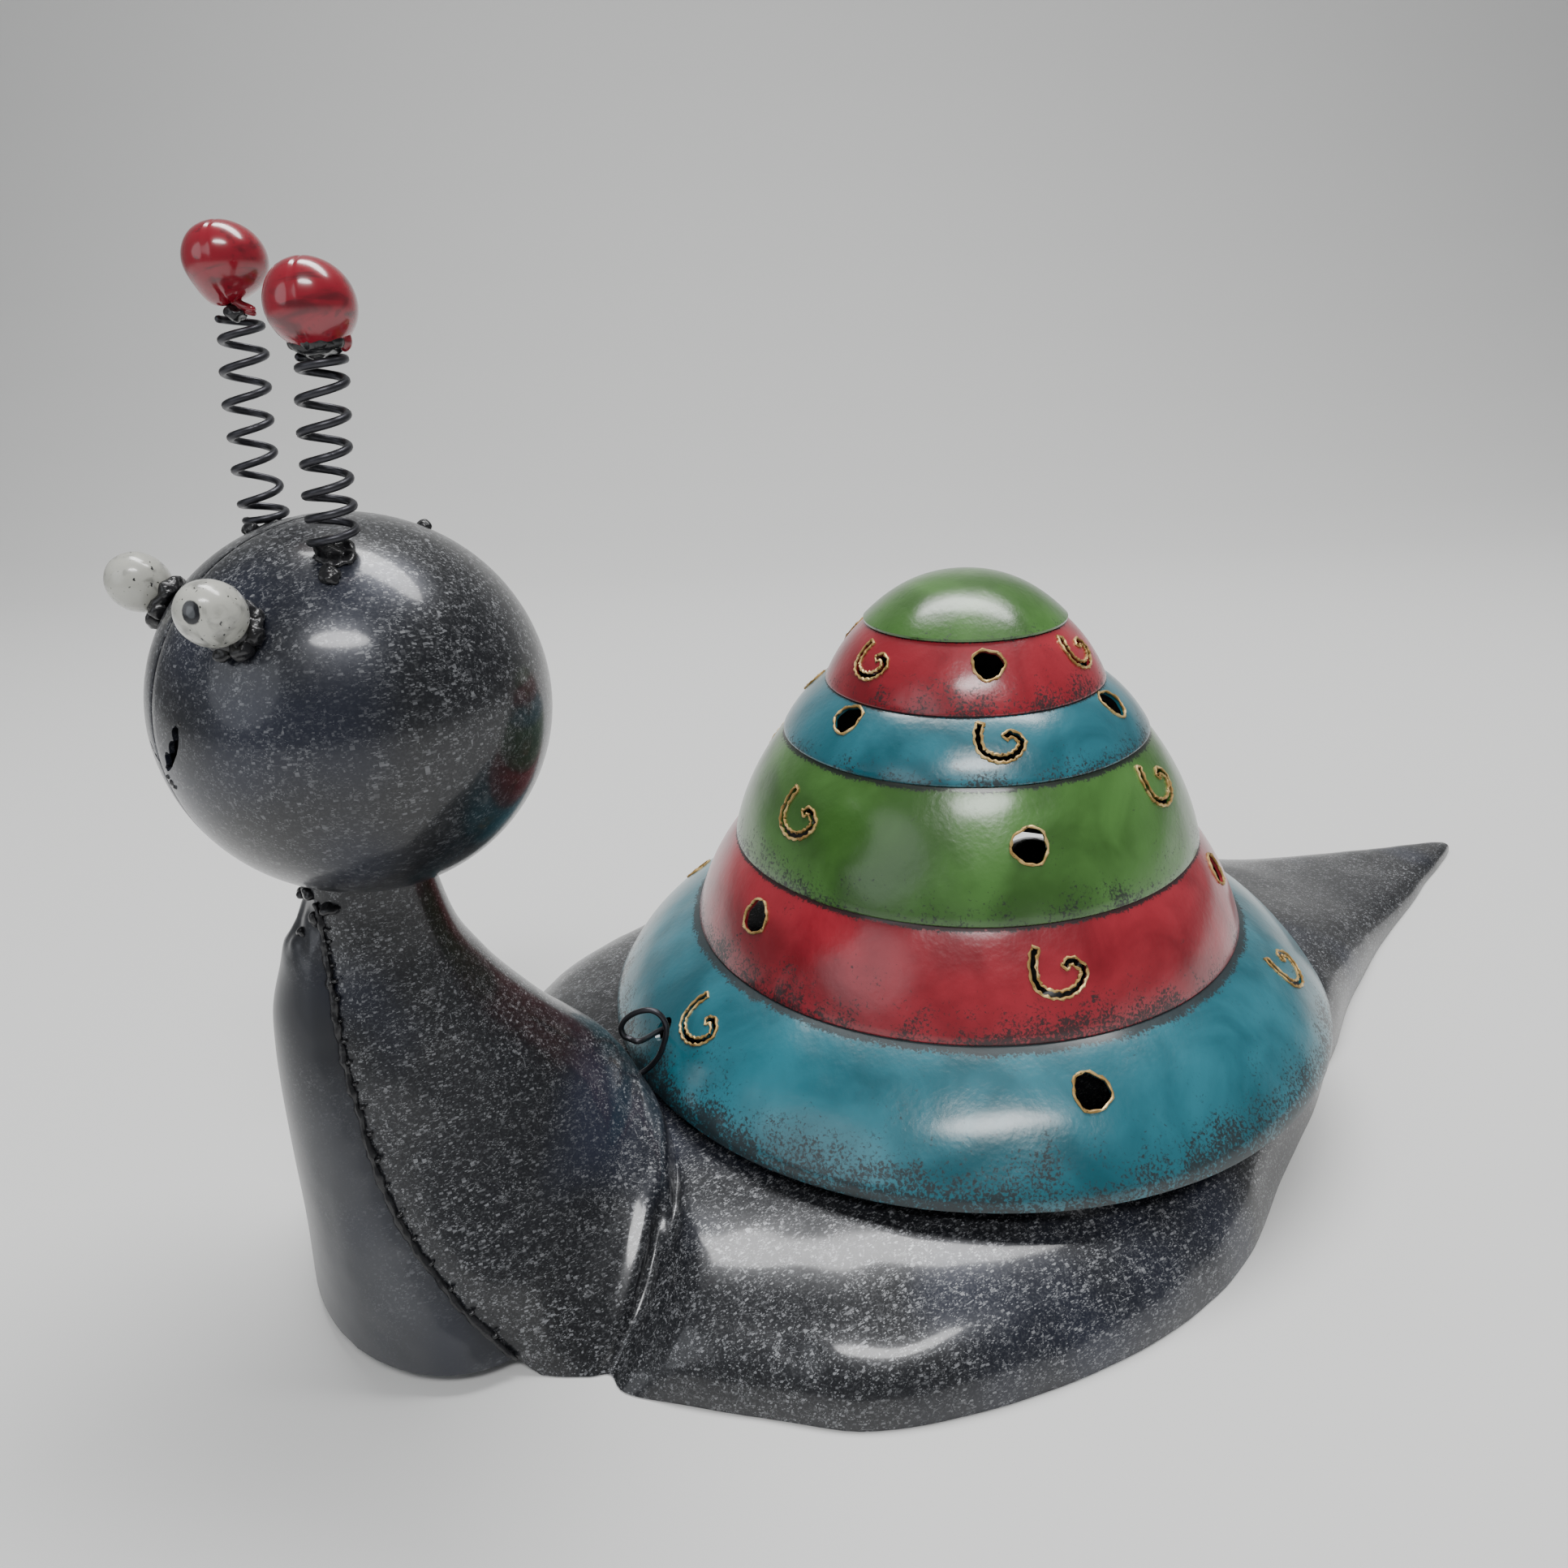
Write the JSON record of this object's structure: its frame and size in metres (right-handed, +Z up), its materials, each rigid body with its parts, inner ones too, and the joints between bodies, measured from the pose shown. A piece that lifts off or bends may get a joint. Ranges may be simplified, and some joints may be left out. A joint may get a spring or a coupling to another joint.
{
  "type": "garden snail tealight lantern",
  "caption": "Painted sheet-steel snail with a tiered, pierced dome shell that tilts up on a wire ring over a tealight cup, a round head, bead eyes and spring antennae.",
  "frame": {"origin": "on the floor, under the middle of the bounding box", "axes": "+Z up; the snail faces -Y, its tail points to +Y, its left side is +X"},
  "size_m": [0.13, 0.2595, 0.1359],
  "materials": {
    "black_paint": "semi-gloss charcoal black paint over scratched sheet steel",
    "grey_paint": "satin grey-black paint on the chest plate",
    "weld_black": "black painted weld metal",
    "eye_white": "gloss off-white enamel, dabbed by hand",
    "antenna_red": "gloss crimson enamel",
    "dark_wire": "dark oiled steel wire",
    "shell_enamel": "gloss enamel in red, teal and green bands, sponged black at their lower edges",
    "cup_steel": "plain galvanised sheet"
  },
  "bodies": {
    "body": {"body_skin": "black_paint", "chest_plate": "grey_paint", "seam_weld_left": "weld_black", "seam_weld_right": "weld_black", "neck_weld": "weld_black", "head_left_dome": "black_paint", "head_right_dome": "black_paint", "eye_left": "eye_white", "eye_right": "eye_white", "eye_weld_left": "weld_black", "eye_weld_right": "weld_black", "antenna_foot_weld_left": "weld_black", "antenna_foot_weld_right": "weld_black", "hinge_ring": "dark_wire", "tealight_cup": "cup_steel"},
    "shell": {"shell": "shell_enamel"},
    "antenna_left_spring": {"antenna_spring_left": "dark_wire"},
    "antenna_left_ball": {"antenna_collar_left": "weld_black", "antenna_ball_left_front": "antenna_red", "antenna_ball_left_rear": "antenna_red"},
    "antenna_right_spring": {"antenna_spring_right": "dark_wire"},
    "antenna_right_ball": {"antenna_collar_right": "weld_black", "antenna_ball_right_front": "antenna_red", "antenna_ball_right_rear": "antenna_red"}
  },
  "joints": [
    {"name": "shell_tilt", "type": "hinge", "parent": "body", "child": "shell", "pos_m": [-0.0016, -0.0726, 0.023], "axis": [1, 0, 0], "range_deg": [0, 30]},
    {"name": "antenna_left_nod", "type": "hinge", "parent": "body", "child": "antenna_left_spring", "pos_m": [0.0111, -0.1074, 0.109], "axis": [1, 0, 0], "range_deg": [-20, 20], "stiffness_Nm_per_rad": 0.002, "deforming": ["antenna_spring_left"]},
    {"name": "antenna_left_sway", "type": "hinge", "parent": "antenna_left_spring", "child": "antenna_left_ball", "pos_m": [0.0108, -0.1068, 0.115], "axis": [0, 1, 0], "range_deg": [-20, 20], "stiffness_Nm_per_rad": 0.002, "deforming": ["antenna_spring_left"]},
    {"name": "antenna_right_nod", "type": "hinge", "parent": "body", "child": "antenna_right_spring", "pos_m": [-0.0096, -0.1117, 0.1104], "axis": [1, 0, 0], "range_deg": [-20, 20], "stiffness_Nm_per_rad": 0.002, "deforming": ["antenna_spring_right"]},
    {"name": "antenna_right_sway", "type": "hinge", "parent": "antenna_right_spring", "child": "antenna_right_ball", "pos_m": [-0.00975, -0.1113, 0.1176], "axis": [0, 1, 0], "range_deg": [-20, 20], "stiffness_Nm_per_rad": 0.002, "deforming": ["antenna_spring_right"]}
  ]
}
